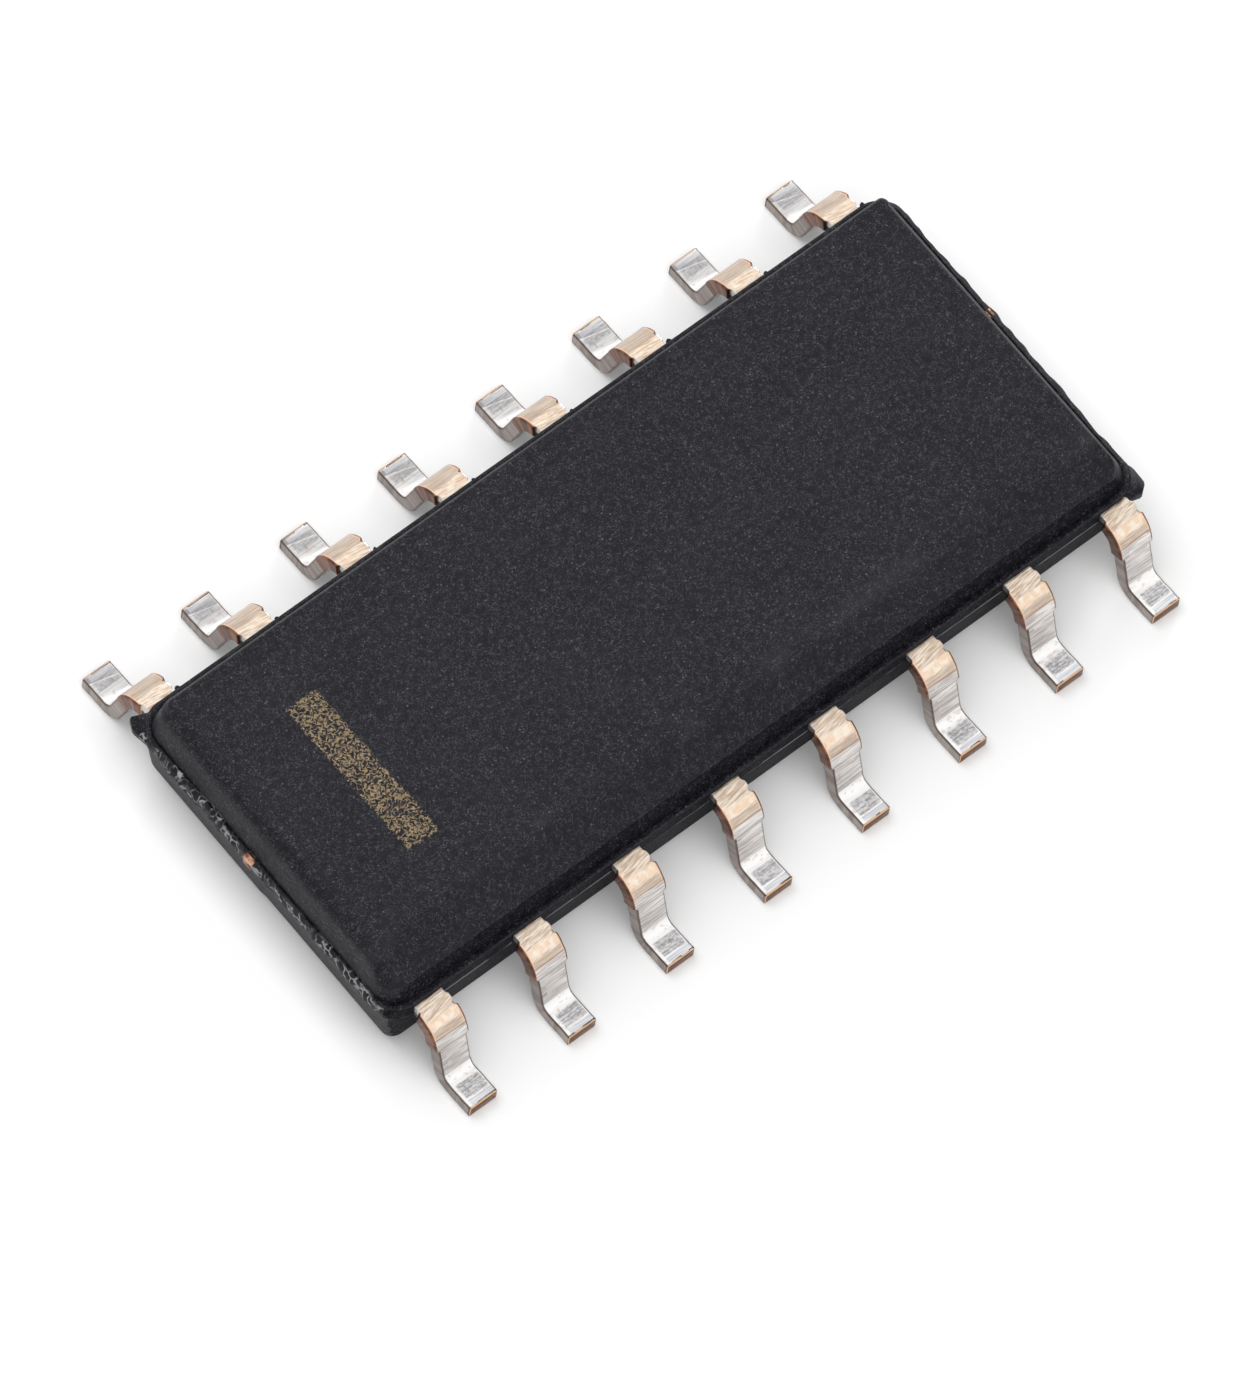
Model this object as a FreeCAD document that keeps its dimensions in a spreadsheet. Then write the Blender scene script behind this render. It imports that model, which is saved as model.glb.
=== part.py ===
import FreeCAD, Part
import math
import os

import Sketcher

# Small-outline integrated circuit with 16 gull-wing leads, in millimetres.
# The lead feet stand on z = 0 with the package centred on the Z axis. X runs along the body and
# the bevelled side with pins 1 to 8 faces -Y, pin 1 at its -X end.

# Driving dimensions

DIMENSIONS = [
    # Moulded body
    ("body_length", 9.70),
    ("body_width", 4.10),
    ("stand_off", 0.15),
    ("lower_depth", 0.61),
    ("lip_height", 0.05),
    ("upper_depth", 0.52),
    ("upper_draft", 16.0),
    ("lower_draft", 10.0),
    ("corner_radius", 0.28),
    ("end_step", 0.02),
    ("side_step", 0.07),
    ("bevel_width", 0.335),
    ("bevel_slope", 35.0),
    ("ridge_radius", 0.30),
    ("rim_radius", 0.07),
    ("stub_reach", 0.07),
    ("stub_length", 0.30),
    ("ejector_diameter", 0.90),
    ("ejector_depth", 0.03),
    ("ejector_spacing", 5.60),
    ("mark_length", 1.90),
    ("mark_width", 0.36),
    ("mark_inset", 1.10),
    ("mark_shift", 0.07),
    ("mark_depth", 0.01),
    # Lead frame
    ("lead_thick", 0.17),
    ("lead_pitch", 1.27),
    ("lead_width", 0.36),
    ("shoulder_length", 0.04),
    ("bend_radius", 0.21),
    ("riser_lean", 16.8),
    ("heel_radius", 0.10),
    ("foot_flat", 0.324),
    ("toe_radius", 0.04),
    ("dambar_width", 0.43),
    ("dambar_start", 26.0),
    ("dambar_tail", 0.07),
    ("shear_chamfer", 0.03),
    ("root_depth", 0.35),
    ("finger_width", 0.30),
    ("finger_gap", 0.20),
    ("pad_length", 3.60),
    ("pad_width", 2.00),
    ("pad_drop", 0.20),
    ("tie_width", 0.18),
    ("tie_offset", 0.18),
    ("tie_slope", 45.0),
    # Die and bonds
    ("attach_thick", 0.02),
    ("attach_margin", 0.06),
    ("die_length", 2.40),
    ("die_width", 1.50),
    ("die_thick", 0.25),
    ("bond_inset", 0.12),
    ("wire_diameter", 0.05),
    ("ball_diameter", 0.11),
    ("ball_height", 0.04),
    ("loop_rise", 0.13),
    ("stitch_length", 0.12),
    ("stitch_width", 0.08),
    ("stitch_height", 0.04),
]
LEADS_PER_SIDE = 8

# Derived places, written as expressions on the cells

LEAD_BOTTOM = "(cells.stand_off + cells.lower_depth)"
LEAD_TOP = f"({LEAD_BOTTOM} + cells.lead_thick)"
LEDGE = f"({LEAD_TOP} + cells.lip_height)"
BODY_TOP = f"({LEDGE} + cells.upper_depth)"
HALF_LENGTH = "(cells.body_length / 2)"
HALF_WIDTH = "(cells.body_width / 2)"
UPPER_SIDE = f"({HALF_WIDTH} - cells.side_step)"
UPPER_END = f"({HALF_LENGTH} - cells.end_step)"

BEND_AT = f"({HALF_WIDTH} + cells.shoulder_length)"
BEND_Z = f"({LEAD_BOTTOM} - cells.bend_radius)"
BEND_OUTER = "(cells.bend_radius + cells.lead_thick)"
TURN = "(90 - cells.riser_lean)"
HEEL_Z = "(cells.lead_thick + cells.heel_radius)"
HEEL_OUTER = "(cells.heel_radius + cells.lead_thick)"
RISER = f"(({BEND_Z} - {HEEL_Z} + ({BEND_OUTER} + cells.heel_radius) * cos({TURN})) / sin({TURN}))"
HEEL_AT = f"({BEND_AT} + ({BEND_OUTER} + cells.heel_radius) * sin({TURN}) + {RISER} * cos({TURN}))"
TOE = f"({HEEL_AT} + cells.foot_flat)"
ROOT = f"({HALF_WIDTH} - cells.root_depth)"

PAD_TOP = f"({LEAD_TOP} - cells.pad_drop)"
PAD_BOTTOM = f"({PAD_TOP} - cells.lead_thick)"
DIE_BOTTOM = f"({PAD_TOP} + cells.attach_thick)"
DIE_TOP = f"({DIE_BOTTOM} + cells.die_thick)"

doc = FreeCAD.newDocument("small_outline_package")
cells = doc.addObject("Spreadsheet::Sheet", "cells")
for row, (alias, value) in enumerate(DIMENSIONS, 1):
    cells.set(f"A{row}", alias)
    cells.set(f"B{row}", str(value))
    cells.setAlias(f"B{row}", alias)
doc.recompute()


# Sketch and feature helpers

def number(expression):
    return float(cells.evalExpression(expression.replace("cells.", "")))


def new_body(label):
    body = doc.addObject("PartDesign::Body", label)
    body.Label = label
    return body


def plane_of(body, role):
    return next(item for item in body.Origin.OriginFeatures if item.Role == role)


def new_sketch(body, name, role, offset="0"):
    sketch = body.newObject("Sketcher::SketchObject", name)
    sketch.AttachmentSupport = [(plane_of(body, role), "")]
    sketch.MapMode = "FlatFace"
    sketch.setExpression("AttachmentOffset.Base.z", offset)
    return sketch


def bind(sketch, kind, geometry, point, expression):
    """Hold one coordinate of a sketch point, measured from the sketch origin, to an expression."""
    value = number(expression)
    index = sketch.addConstraint(Sketcher.Constraint(kind, -1, 1, geometry, point, value))
    sketch.setExpression(f"Constraints[{index}]", expression)


def arc_through(start, end, radius, side):
    """Minor arc from start to end, its centre to the left (side 1) or the right (side -1)."""
    chord = end - start
    reach = math.sqrt(max(radius ** 2 - (chord.Length / 2) ** 2, 0))
    normal = FreeCAD.Vector(-chord.y, chord.x, 0).normalize()
    centre = (start + end) * 0.5 + normal * (side * reach)
    first, last = (start, end) if side > 0 else (end, start)
    circle = Part.Circle(centre, FreeCAD.Vector(0, 0, 1), radius)
    return Part.ArcOfCircle(circle, circle.parameter(first), circle.parameter(last))


def draw_outline(sketch, corners):
    """Draw a closed outline. Each corner is (x, y) after a line or (x, y, radius, side) after an arc."""
    points = [FreeCAD.Vector(number(corner[0]), number(corner[1]), 0) for corner in corners]
    ends = []
    for index, corner in enumerate(corners):
        start, end = points[index - 1], points[index]
        if len(corner) == 2:
            geometry = sketch.addGeometry(Part.LineSegment(start, end))
            ends.append((geometry, 1, 2))
            continue
        radius, side = corner[2:]
        geometry = sketch.addGeometry(arc_through(start, end, number(radius), side))
        ends.append((geometry, 1, 2) if side > 0 else (geometry, 2, 1))
        held = sketch.addConstraint(Sketcher.Constraint("Radius", geometry, number(radius)))
        sketch.setExpression(f"Constraints[{held}]", radius)
    for index, (geometry, first, last) in enumerate(ends):
        before, _, before_last = ends[index - 1]
        sketch.addConstraint(Sketcher.Constraint("Coincident", before, before_last, geometry, first))
        bind(sketch, "DistanceX", geometry, last, corners[index][0])
        bind(sketch, "DistanceY", geometry, last, corners[index][1])


def rounded_rectangle(half_x, half_y, radius):
    inner_x, inner_y = f"({half_x} - {radius})", f"({half_y} - {radius})"
    return [
        (inner_x, f"-{half_y}"),
        (half_x, f"-{inner_y}", radius, 1),
        (half_x, inner_y),
        (inner_x, half_y, radius, 1),
        (f"-{inner_x}", half_y),
        (f"-{half_x}", inner_y, radius, 1),
        (f"-{half_x}", f"-{inner_y}"),
        (f"-{inner_x}", f"-{half_y}", radius, 1),
    ]


def rectangle(low_x, high_x, low_y, high_y):
    return [(high_x, low_y), (high_x, high_y), (low_x, high_y), (low_x, low_y)]


def extrude(body, kind, sketch, length, symmetric=False, downward=False, taper=None):
    feature = body.newObject(f"PartDesign::{kind}", f"{sketch.Name}_{kind.lower()}")
    feature.Profile = sketch
    feature.SideType = "Symmetric" if symmetric else "One side"
    feature.Reversed = downward
    feature.setExpression("Length", length)
    if taper:
        feature.setExpression("TaperAngle", taper)
    sketch.Visibility = False
    return feature


def pad_outline(body, name, role, corners, length, offset="0", **options):
    sketch = new_sketch(body, name, role, offset)
    draw_outline(sketch, corners)
    return extrude(body, "Pad", sketch, length, **options)


def dress_edges(body, kind, name, wanted, size):
    """Fillet or chamfer the edges of the body's tip that the test function picks out."""
    doc.recompute()
    tip = body.Tip
    names = [f"Edge{i}" for i, edge in enumerate(tip.Shape.Edges, 1) if wanted(tip.Shape, edge)]
    feature = body.newObject(f"PartDesign::{kind}", name)
    feature.Base = (tip, names)
    feature.setExpression("Radius" if kind == "Fillet" else "Size", size)


# Moulded body

def steepness(face):
    u0, u1, v0, v1 = face.ParameterRange
    return abs(face.normalAt((u0 + u1) / 2, (v0 + v1) / 2).z)


def on_rim(shape, edge, low, high):
    """True for an edge between z = low and high where a wall meets a flatter face."""
    heights = [vertex.Z for vertex in edge.Vertexes]
    if min(heights) < low or max(heights) > high:
        return False
    slopes = sorted(steepness(face) for face in shape.ancestorsOfType(edge, Part.Face))
    return slopes[0] < 0.5 < slopes[-1]


def cut_bevel(body):
    """Long bevel of the pin-1 side, with a soft ridge where it leaves the top face."""
    blend = "(cells.ridge_radius * tan(cells.bevel_slope / 2))"
    wall_top = f"({UPPER_SIDE} - cells.upper_depth * tan(cells.upper_draft))"
    ridge = f"({wall_top} - cells.bevel_width)"
    past = f"({HALF_WIDTH} + cells.bevel_width)"
    drop = f"(({past} - {ridge}) * tan(cells.bevel_slope))"
    sketch = new_sketch(body, "bevel", "YZ_Plane")
    draw_outline(sketch, [
        (f"-({ridge} - {blend})", BODY_TOP),
        (f"-({ridge} + {blend} * cos(cells.bevel_slope))",
         f"{BODY_TOP} - {blend} * sin(cells.bevel_slope)", "cells.ridge_radius", 1),
        (f"-{past}", f"{BODY_TOP} - {drop}"),
        (f"-{past}", f"{BODY_TOP} + {drop}"),
        (f"-({ridge} - {blend})", f"{BODY_TOP} + {drop}"),
    ])
    extrude(body, "Pocket", sketch, "cells.body_length", symmetric=True)


def add_corner_stubs(body):
    """Broken gate and vent stubs at two opposite corners, in the lead frame's plane."""
    inner_x, inner_y = f"({HALF_LENGTH} - cells.stub_length)", f"({HALF_WIDTH} - cells.stub_length)"
    pad = pad_outline(body, "corner_stub", "XY_Plane", [
        (HALF_LENGTH, f"-{inner_y}"),
        (inner_x, f"-{inner_y}"),
        (f"({inner_x} + cells.stub_reach)", f"-{HALF_WIDTH}"),
        (f"({HALF_LENGTH} - cells.stub_reach / 2)", f"-({HALF_WIDTH} + cells.stub_reach)"),
        (f"({HALF_LENGTH} + cells.stub_reach / 4)", f"-({HALF_WIDTH} - cells.stub_reach)"),
    ], "cells.lead_thick", LEAD_BOTTOM)
    pair = body.newObject("PartDesign::PolarPattern", "corner_stubs")
    pair.Originals = [pad]
    pair.Axis = (plane_of(body, "Z_Axis"), [""])
    pair.Angle = 360
    pair.Occurrences = 2
    body.Tip = pair


def cut_ejector_marks(body):
    """Two shallow round ejector marks in the underside."""
    sketch = new_sketch(body, "ejector_marks", "XY_Plane", "cells.stand_off")
    for side in ("-", ""):
        place = f"{side}cells.ejector_spacing / 2"
        centre = FreeCAD.Vector(number(place), 0, 0)
        radius = number("cells.ejector_diameter / 2")
        circle = sketch.addGeometry(Part.Circle(centre, FreeCAD.Vector(0, 0, 1), radius))
        bind(sketch, "DistanceX", circle, 3, place)
        sketch.addConstraint(Sketcher.Constraint("PointOnObject", circle, 3, -1))
        held = sketch.addConstraint(Sketcher.Constraint("Radius", circle, radius))
        sketch.setExpression(f"Constraints[{held}]", "cells.ejector_diameter / 2")
    extrude(body, "Pocket", sketch, "cells.ejector_depth", downward=True)


def cut_pin_one_mark(body):
    """Shallow bar marked into the top face beside pin 1."""
    low_x = f"(cells.mark_inset - {HALF_LENGTH})"
    sketch = new_sketch(body, "pin_one_mark", "XY_Plane", BODY_TOP)
    draw_outline(sketch, rectangle(low_x, f"{low_x} + cells.mark_width",
                                   "cells.mark_shift - cells.mark_length / 2",
                                   "cells.mark_shift + cells.mark_length / 2"))
    extrude(body, "Pocket", sketch, "cells.mark_depth")


def make_mould_blank():
    body = new_body("mould_blank")
    low, high = number("cells.stand_off"), number(BODY_TOP)
    ledge = number(LEDGE)
    near = number("cells.rim_radius") / 10
    pad_outline(body, "lower_half", "XY_Plane",
                rounded_rectangle(HALF_LENGTH, HALF_WIDTH, "cells.corner_radius"),
                "cells.lower_depth", LEAD_BOTTOM, downward=True, taper="-cells.lower_draft")
    pad_outline(body, "flange", "XY_Plane",
                rounded_rectangle(HALF_LENGTH, HALF_WIDTH, "cells.corner_radius"),
                "cells.lead_thick + cells.lip_height", LEAD_BOTTOM)
    pad_outline(body, "upper_half", "XY_Plane",
                rounded_rectangle(UPPER_END, UPPER_SIDE, "cells.corner_radius"),
                "cells.upper_depth", LEDGE, taper="-cells.upper_draft")
    cut_bevel(body)
    dress_edges(body, "Fillet", "top_rim",
                lambda shape, edge: on_rim(shape, edge, ledge + near, high + near), "cells.rim_radius")
    dress_edges(body, "Fillet", "bottom_rim",
                lambda shape, edge: on_rim(shape, edge, low - near, low + near), "cells.rim_radius")
    add_corner_stubs(body)
    cut_ejector_marks(body)
    cut_pin_one_mark(body)
    return body


# Leads

def bend_point(radius, angle):
    return f"{BEND_AT} + {radius} * sin({angle})", f"{BEND_Z} + {radius} * cos({angle})"


def heel_point(radius):
    return f"{HEEL_AT} - {radius} * sin({TURN})", f"{HEEL_Z} - {radius} * cos({TURN})"


def lead_profile():
    """Side view of the bent strip from its root inside the body to the toe."""
    return [
        (ROOT, LEAD_TOP),
        (ROOT, LEAD_BOTTOM),
        (BEND_AT, LEAD_BOTTOM),
        (*bend_point("cells.bend_radius", TURN), "cells.bend_radius", -1),
        heel_point(HEEL_OUTER),
        (HEEL_AT, "0", HEEL_OUTER, 1),
        (TOE, "0"),
        (TOE, "cells.lead_thick"),
        (HEEL_AT, "cells.lead_thick"),
        (*heel_point("cells.heel_radius"), "cells.heel_radius", -1),
        bend_point(BEND_OUTER, TURN),
        (BEND_AT, LEAD_TOP, BEND_OUTER, 1),
    ]


def dambar_profile():
    """Side view of the wider stretch that the sheared dambar leaves round the bend."""
    def past_bend(radius):
        across, up = bend_point(radius, TURN)
        return f"{across} + cells.dambar_tail * cos({TURN})", f"{up} - cells.dambar_tail * sin({TURN})"
    return [
        bend_point("cells.bend_radius", "cells.dambar_start"),
        (*bend_point("cells.bend_radius", TURN), "cells.bend_radius", -1),
        past_bend("cells.bend_radius"),
        past_bend(BEND_OUTER),
        bend_point(BEND_OUTER, TURN),
        (*bend_point(BEND_OUTER, "cells.dambar_start"), BEND_OUTER, 1),
    ]


def finger_tip(place):
    """Centre of the inner finger's tip for the lead counted from the middle of its row."""
    beside_pad = "(cells.pad_width / 2 + cells.finger_gap)"
    past_pad = "(cells.pad_length / 2 + cells.finger_gap)"
    near_tie = "(cells.tie_offset + cells.tie_width / 2 + cells.finger_gap + cells.finger_width / 2)"
    return [
        ("cells.lead_pitch / 2", beside_pad),
        ("(cells.pad_length / 2 - cells.finger_width)", beside_pad),
        (past_pad, f"({near_tie} + cells.finger_width + cells.finger_gap)"),
        (past_pad, near_tie),
    ][place]


def bond_point(place):
    """Centre of the die's bond pad for the lead counted from the middle of its row."""
    near_side = "(cells.die_width / 2 - cells.bond_inset)"
    near_end = "(cells.die_length / 2 - cells.bond_inset)"
    return [
        ("cells.die_length / 8", near_side),
        ("cells.die_length * 3 / 8", near_side),
        (near_end, "cells.die_width * 3 / 8"),
        (near_end, "cells.die_width / 8"),
    ][place]


def finger_outline(place, hand, lead_x):
    """Plan view of the inner finger, from the root of the lead to its tip by the die pad."""
    tip_x, tip_y = finger_tip(place)
    half, half_root = "cells.finger_width / 2", "cells.lead_width / 2"
    tip_x = f"{hand} * {tip_x}"
    if place < 2:
        tip = [(f"{tip_x} - {half}", tip_y), (f"{tip_x} + {half}", tip_y)]
    elif hand > 0:
        tip = [(tip_x, f"{tip_y} + {half}"), (tip_x, f"{tip_y} - {half}")]
    else:
        tip = [(tip_x, f"{tip_y} - {half}"), (tip_x, f"{tip_y} + {half}")]
    root = [(f"{lead_x} + {half_root}", ROOT), (f"{lead_x} - {half_root}", ROOT)]
    return tip + root


def lead_place(number_of_lead):
    """Row turn, place from the middle, hand and X of a lead, in its own row's frame."""
    step = (number_of_lead - 1) % LEADS_PER_SIDE
    from_middle = (LEADS_PER_SIDE - 1) / 2 - step
    turned = number_of_lead <= LEADS_PER_SIDE
    hand = 1 if from_middle > 0 else -1
    return turned, int(abs(from_middle)), hand, f"({from_middle} * cells.lead_pitch)"


def on_shear_end(edge, lead_x):
    """True for the four short edges that end the sheared faces of the dambar stubs."""
    half = number("cells.dambar_width / 2")
    beside = all(abs(abs(vertex.X - lead_x) - half) < 1e-4 for vertex in edge.Vertexes)
    return beside and abs(edge.Length - number("cells.lead_thick")) < 1e-4


def on_toe(edge):
    """True for the lower edge of the toe."""
    toe = number(TOE)
    return all(abs(vertex.Y - toe) + abs(vertex.Z) < 1e-4 for vertex in edge.Vertexes)


def make_lead(number_of_lead):
    turned, place, hand, lead_x = lead_place(number_of_lead)
    body = new_body(f"lead_{number_of_lead:02d}")
    pad_outline(body, "strip", "YZ_Plane", lead_profile(), "cells.lead_width", lead_x, symmetric=True)
    pad_outline(body, "dambar_stub", "YZ_Plane", dambar_profile(), "cells.dambar_width", lead_x,
                symmetric=True)
    pad_outline(body, "finger", "XY_Plane", finger_outline(place, hand, lead_x),
                "cells.lead_thick", LEAD_BOTTOM)
    dress_edges(body, "Chamfer", "shear_corners",
                lambda shape, edge: on_shear_end(edge, number(lead_x)), "cells.shear_chamfer")
    dress_edges(body, "Fillet", "toe_edge", lambda shape, edge: on_toe(edge), "cells.toe_radius")
    if turned:
        body.Placement.Rotation = FreeCAD.Rotation(FreeCAD.Vector(0, 0, 1), 180)
    return body


# Die pad, die and bond wires

def make_die_pad():
    """Paddle set down below the leads, with a tie bar out to each end of the body."""
    body = new_body("die_pad")
    half_pad = "(cells.pad_length / 2)"
    pad_outline(body, "paddle", "XY_Plane",
                rectangle(f"-{half_pad}", half_pad, "-cells.pad_width / 2", "cells.pad_width / 2"),
                "cells.lead_thick", PAD_BOTTOM)
    rise = "(cells.pad_drop / tan(cells.tie_slope))"
    skew = "(cells.lead_thick * tan(cells.tie_slope / 2))"
    for name, sign in (("left_tie", "-"), ("right_tie", "")):
        pad_outline(body, name, "XZ_Plane", [
            (f"{sign}({half_pad} - cells.finger_gap)", PAD_BOTTOM),
            (f"{sign}({half_pad} + {skew})", PAD_BOTTOM),
            (f"{sign}({half_pad} + {skew} + {rise})", LEAD_BOTTOM),
            (f"{sign}{HALF_LENGTH}", LEAD_BOTTOM),
            (f"{sign}{HALF_LENGTH}", LEAD_TOP),
            (f"{sign}({half_pad} + {rise})", LEAD_TOP),
            (f"{sign}{half_pad}", PAD_TOP),
            (f"{sign}({half_pad} - cells.finger_gap)", PAD_TOP),
        ], "cells.tie_width", "-cells.tie_offset", symmetric=True)
    return body


def make_plate(label, length, width, thickness, bottom):
    body = new_body(label)
    pad_outline(body, f"{label}_outline", "XY_Plane",
                rectangle(f"-{length} / 2", f"{length} / 2", f"-{width} / 2", f"{width} / 2"),
                thickness, bottom)
    return body


def draw_wire_path(sketch, span):
    """Wire path in its own plane: up from the ball to the kink of the loop and down to the stitch."""
    corners = [
        ("0", f"{DIE_TOP} + cells.ball_height / 2"),
        ("0", f"{DIE_TOP} + cells.ball_height + cells.loop_rise"),
        (span, f"{LEAD_TOP} + cells.stitch_height"),
    ]
    points = [FreeCAD.Vector(number(x), number(z), 0) for x, z in corners]
    for index in range(len(points) - 1):
        line = sketch.addGeometry(Part.LineSegment(points[index], points[index + 1]))
        if index:
            sketch.addConstraint(Sketcher.Constraint("Coincident", line - 1, 2, line, 1))
        else:
            bind(sketch, "DistanceX", line, 1, corners[0][0])
            bind(sketch, "DistanceY", line, 1, corners[0][1])
        bind(sketch, "DistanceX", line, 2, corners[index + 1][0])
        bind(sketch, "DistanceY", line, 2, corners[index + 1][1])


def octagon(diameter):
    """Plain stand-in for a circle that is too fine and too well hidden to need round sides."""
    return [(f"{diameter} / 2 * cos({45 * side})", f"{diameter} / 2 * sin({45 * side})")
            for side in range(8)]


def make_bond_wire(number_of_lead):
    """Ball on the die, looped wire and flattened stitch on the lead's inner finger."""
    turned, place, hand, _ = lead_place(number_of_lead)
    row = -1 if turned else 1
    bond_x, bond_y = bond_point(place)
    tip_x, tip_y = finger_tip(place)
    if place < 2:
        tip_y = f"({tip_y} + cells.stitch_length)"
    else:
        tip_x = f"({tip_x} + cells.stitch_length)"
    run_x, run_y = f"({hand * row} * ({tip_x} - {bond_x}))", f"({row} * ({tip_y} - {bond_y}))"
    span = f"hypot({run_x}; {run_y})"
    body = new_body(f"bond_wire_{number_of_lead:02d}")
    pad_outline(body, "ball", "XY_Plane", octagon("cells.ball_diameter"), "cells.ball_height", DIE_TOP)
    section = new_sketch(body, "wire_section", "XY_Plane", f"{DIE_TOP} + cells.ball_height / 2")
    draw_outline(section, octagon("cells.wire_diameter"))
    path = new_sketch(body, "wire_path", "XZ_Plane")
    draw_wire_path(path, span)
    pipe = body.newObject("PartDesign::AdditivePipe", "wire")
    pipe.Profile = section
    pipe.Spine = path
    pipe.Transition = "Right corner"
    pad_outline(body, "stitch", "XY_Plane",
                rectangle(f"{span} - cells.stitch_length / 2", f"{span} + cells.stitch_length / 2",
                          "-cells.stitch_width / 2", "cells.stitch_width / 2"),
                "cells.stitch_height", LEAD_TOP)
    body.Placement.Rotation = FreeCAD.Rotation(FreeCAD.Vector(0, 0, 1), 1)
    body.setExpression("Placement.Base.x", f"{hand * row} * {bond_x}")
    body.setExpression("Placement.Base.y", f"{row} * {bond_y}")
    body.setExpression("Placement.Rotation.Angle", f"atan2({run_y}; {run_x})")
    return body


def make_mould_body(blank, inserts):
    """The blank with exactly the space of everything that is moulded into it."""
    inserted = doc.addObject("Part::MultiFuse", "moulded_in")
    inserted.Shapes = inserts
    body = doc.addObject("Part::Cut", "mould_body")
    body.Label = "mould_body"
    body.Base = blank
    body.Tool = inserted
    return body


# Assembly

leads = [make_lead(index + 1) for index in range(2 * LEADS_PER_SIDE)]
wires = [make_bond_wire(index + 1) for index in range(2 * LEADS_PER_SIDE)]
die_pad = make_die_pad()
die_attach = make_plate("die_attach", "(cells.die_length + 2 * cells.attach_margin)",
                        "(cells.die_width + 2 * cells.attach_margin)", "cells.attach_thick", PAD_TOP)
silicon_die = make_plate("silicon_die", "cells.die_length", "cells.die_width", "cells.die_thick",
                         DIE_BOTTOM)
inner_parts = [die_pad, die_attach, silicon_die]
mould_body = make_mould_body(make_mould_blank(), leads + inner_parts + wires)
parts = [mould_body] + leads + inner_parts + wires
doc.recompute()

for item in doc.Objects:
    if "Invalid" in item.State or "Error" in item.State:
        raise RuntimeError(f"{item.Label} failed: {item.State}")
for part in parts:
    if part.Shape.isNull() or not part.Shape.isValid() or len(part.Shape.Solids) != 1:
        raise RuntimeError(f"{part.Label} is not one valid solid")

os.makedirs("parts", exist_ok=True)
for part in parts:
    part.Shape.exportStep(f"parts/{part.Label}.step")
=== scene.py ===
"""Visual model of a small-outline package with sixteen gull-wing leads, in the frame of its CAD."""
import math
from types import SimpleNamespace

import bmesh
import bpy
from mathutils import Matrix, Vector, noise

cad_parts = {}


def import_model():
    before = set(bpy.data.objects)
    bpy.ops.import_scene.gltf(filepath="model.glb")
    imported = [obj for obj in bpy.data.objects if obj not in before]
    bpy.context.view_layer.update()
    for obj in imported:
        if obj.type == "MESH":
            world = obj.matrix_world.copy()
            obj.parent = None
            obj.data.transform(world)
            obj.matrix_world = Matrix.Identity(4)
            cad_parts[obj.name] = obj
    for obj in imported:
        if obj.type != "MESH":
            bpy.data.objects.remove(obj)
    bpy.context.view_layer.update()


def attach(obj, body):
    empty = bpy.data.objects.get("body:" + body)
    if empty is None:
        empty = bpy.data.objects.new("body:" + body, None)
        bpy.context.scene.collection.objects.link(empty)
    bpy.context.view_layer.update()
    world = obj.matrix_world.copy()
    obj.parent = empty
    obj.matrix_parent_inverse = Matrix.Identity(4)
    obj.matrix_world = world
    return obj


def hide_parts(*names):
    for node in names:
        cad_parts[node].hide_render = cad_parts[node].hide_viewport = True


MM = 0.001

# Body, in millimetres and radians
HALF_LENGTH = 4.85
HALF_WIDTH = 2.05
UPPER_END = 4.83
UPPER_SIDE = 1.98
CORNER_RADIUS = 0.28
BODY_BOTTOM = 0.15
BOTTOM_RIM = 0.06
FLANGE_BOTTOM = 0.76
LEDGE = 0.98
LEDGE_GROOVE = 0.012
WALL_SINK = 0.02
BODY_TOP = 1.50
TOP_RIM = 0.045
LEFT_RIM_EXTRA = 0.12
RIM_LIP = 0.012
LOWER_DRAFT = math.radians(10)
SIDE_DRAFT = math.radians(17)
LEFT_DRAFT = math.radians(6)
RIGHT_DRAFT = math.radians(24)
SKEW = 0.027
BEVEL_SLOPE = math.radians(35)
RIDGE = -1.497
RIDGE_RADIUS = 0.30
FRONT_WALL = -1.915
SHARP_ANGLE = math.radians(38)
EJECTOR_RADIUS = 0.45
EJECTOR_TAPER = 0.01
EJECTOR_DEPTH = 0.03
EJECTOR_PLACE = 2.80
BAR_X = (-3.768, -3.385)
BAR_Y = (-0.90, 1.03)
PARTING_Z = (0.768, 0.800)
CHIPS_Z = (0.85, 0.965)
RESIN_BUMP = (0.215, HALF_WIDTH + 0.012, 0.935)
BLOCK_EDGE = 0.012

# Leads, in millimetres and radians
LEADS_PER_SIDE = 8
PITCH = 1.27
THICK = 0.17
LEAD_TOP = 0.93
LEAD_WIDTH = 0.36
CUT_WIDTH = 0.43
NUB_WIDTH = 0.020
EDGE_RADIUS = 0.020
PARED = 0.004
WAVER = 0.0035
DENT = 0.0025
ROOT = 0.08
BEND_AT = 2.09
BEND_RADIUS = 0.21
HEEL_RADIUS = 0.10
FOOT_FLAT = 0.324
TURN = math.radians(73.2)
STEP = 0.012
# Each as (back from the toe, inset, cut)
TOE_RINGS = ((0.030, 0.0, 0.0), (0.014, 0.002, 0.2), (0.004, 0.007, 0.3), (0.0, 0.014, 1.0))

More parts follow.
